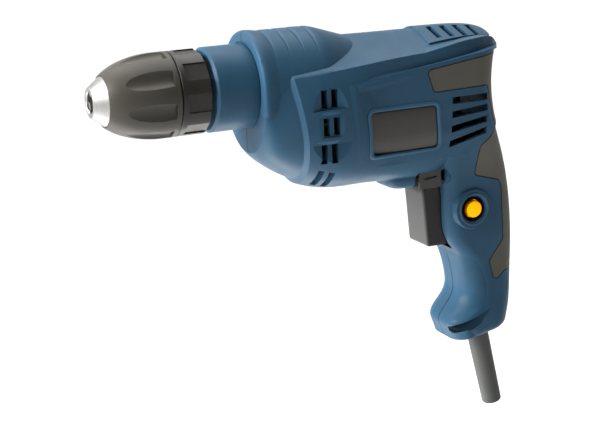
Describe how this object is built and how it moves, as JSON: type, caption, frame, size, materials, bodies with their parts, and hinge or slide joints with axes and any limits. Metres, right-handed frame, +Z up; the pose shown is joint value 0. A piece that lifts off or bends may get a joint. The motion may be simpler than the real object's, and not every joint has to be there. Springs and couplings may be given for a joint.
{
  "type": "power drill",
  "caption": "Corded pistol-grip power drill with keyless chuck, clamping collar, vented split housing, soft grip, trigger, side lock button and reversing lever.",
  "frame": {"origin": "on the spindle axis, in the middle of the clamping collar behind the chuck", "axes": "+X along the spindle from the chuck to the back of the body, +Z up, the drill's left side with the plate and the lock button towards -Y"},
  "size_m": [0.2325, 0.0686, 0.2257],
  "materials": {
    "housing_plastic": "fine moulded grain",
    "soft_grip": "dull",
    "plate": "smooth",
    "dark_plastic": "moulded",
    "trigger_plastic": "smooth",
    "chuck_plastic": "fine moulded grain",
    "orange_plastic": "smooth",
    "capacitor_case": "smooth",
    "sleeve_rubber": "dull",
    "black_rubber": "dull",
    "chuck_steel": "turned",
    "bearing_steel": "ground",
    "spring_steel": "drawn",
    "screw_steel": "blackened",
    "core_steel": "stacked sheets",
    "cast_alloy": "cast",
    "bronze": "sintered",
    "copper": "lacquered",
    "carbon": "pressed carbon"
  },
  "bodies": {
    "housing": {"left_housing_half": "housing_plastic", "right_housing_half": "housing_plastic", "left_grip_rubber": "soft_grip", "right_grip_rubber": "soft_grip", "side_plate": "plate", "housing_screws": "screw_steel", "clamping_collar": "housing_plastic", "gear_plate": "cast_alloy", "fan_baffle": "dark_plastic", "spindle_front_bearing": "bearing_steel", "spindle_seal": "black_rubber", "spindle_rear_bush": "bronze", "armature_front_bearing": "bearing_steel", "armature_rear_bearing": "bearing_steel", "rear_bearing_boot": "black_rubber", "stator_core": "core_steel", "field_coils": "copper", "brush_holders": "bronze", "carbon_brushes": "carbon", "brush_springs": "spring_steel", "switch_body": "dark_plastic", "trigger_spring": "spring_steel", "lock_spring": "spring_steel", "capacitor": "capacitor_case", "cord_sleeve": "sleeve_rubber", "cord_clamp": "dark_plastic", "cord_clamp_screws": "screw_steel"},
    "spindle": {"spindle_shaft": "bearing_steel", "spindle_gear": "bearing_steel", "thrust_washer": "bearing_steel", "retaining_ring": "spring_steel", "chuck_body": "chuck_steel", "chuck_rear_collar": "chuck_plastic", "chuck_screw": "screw_steel"},
    "armature": {"armature_shaft": "bearing_steel", "armature_core": "core_steel", "armature_windings": "copper", "commutator": "copper", "cooling_fan": "dark_plastic"},
    "chuck_sleeve": {"chuck_front_sleeve": "chuck_plastic", "chuck_nut": "chuck_steel"},
    "jaw_1": {"chuck_jaw_1": "chuck_steel"},
    "jaw_2": {"chuck_jaw_2": "chuck_steel"},
    "jaw_3": {"chuck_jaw_3": "chuck_steel"},
    "trigger": {"trigger": "trigger_plastic"},
    "lock": {"lock_button": "orange_plastic"},
    "lever": {"reverse_lever": "dark_plastic"}
  },
  "joints": [
    {"name": "spindle_spin", "type": "hinge", "parent": "housing", "child": "spindle", "pos_m": [0, 0, 0], "axis": [1, 0, 0], "continuous": true},
    {"name": "armature_spin", "type": "hinge", "parent": "housing", "child": "armature", "pos_m": [0, 0, -0.02015], "axis": [1, 0, 0], "continuous": true},
    {"name": "sleeve_turn", "type": "hinge", "parent": "spindle", "child": "chuck_sleeve", "pos_m": [0, 0, 0], "axis": [1, 0, 0], "range_deg": [-2300, 1800]},
    {"name": "jaw_1_slide", "type": "slide", "parent": "spindle", "child": "jaw_1", "axis": [0.9659, 0, 0.2588], "range_m": [-0.00966, 0.00773]},
    {"name": "jaw_2_slide", "type": "slide", "parent": "spindle", "child": "jaw_2", "axis": [0.9659, -0.2241, -0.1294], "range_m": [-0.00966, 0.00773]},
    {"name": "jaw_3_slide", "type": "slide", "parent": "spindle", "child": "jaw_3", "axis": [0.9659, 0.2241, -0.1294], "range_m": [-0.00966, 0.00773]},
    {"name": "trigger_pull", "type": "slide", "parent": "housing", "child": "trigger", "axis": [1, 0, 0], "range_m": [0, 0.006], "stiffness_N_per_m": 600, "springref_m": -0.005, "deforming": ["trigger_spring"]},
    {"name": "lock_button_press", "type": "slide", "parent": "housing", "child": "lock", "axis": [0, 1, 0], "range_m": [0, 0.0022], "stiffness_N_per_m": 400, "springref_m": -0.002, "deforming": ["lock_spring"]},
    {"name": "reverse_lever_swing", "type": "hinge", "parent": "housing", "child": "lever", "pos_m": [0.1325, 0, -0.0586], "axis": [0, 0, 1], "range_deg": [-6, 6]}
  ],
  "couplings": [
    {"joint": "armature_spin", "follows": "spindle_spin", "ratio": -6.75},
    {"joint": "jaw_1_slide", "follows": "sleeve_turn", "m_per_rad": 0.00023873},
    {"joint": "jaw_2_slide", "follows": "sleeve_turn", "m_per_rad": 0.00023873},
    {"joint": "jaw_3_slide", "follows": "sleeve_turn", "m_per_rad": 0.00023873}
  ]
}
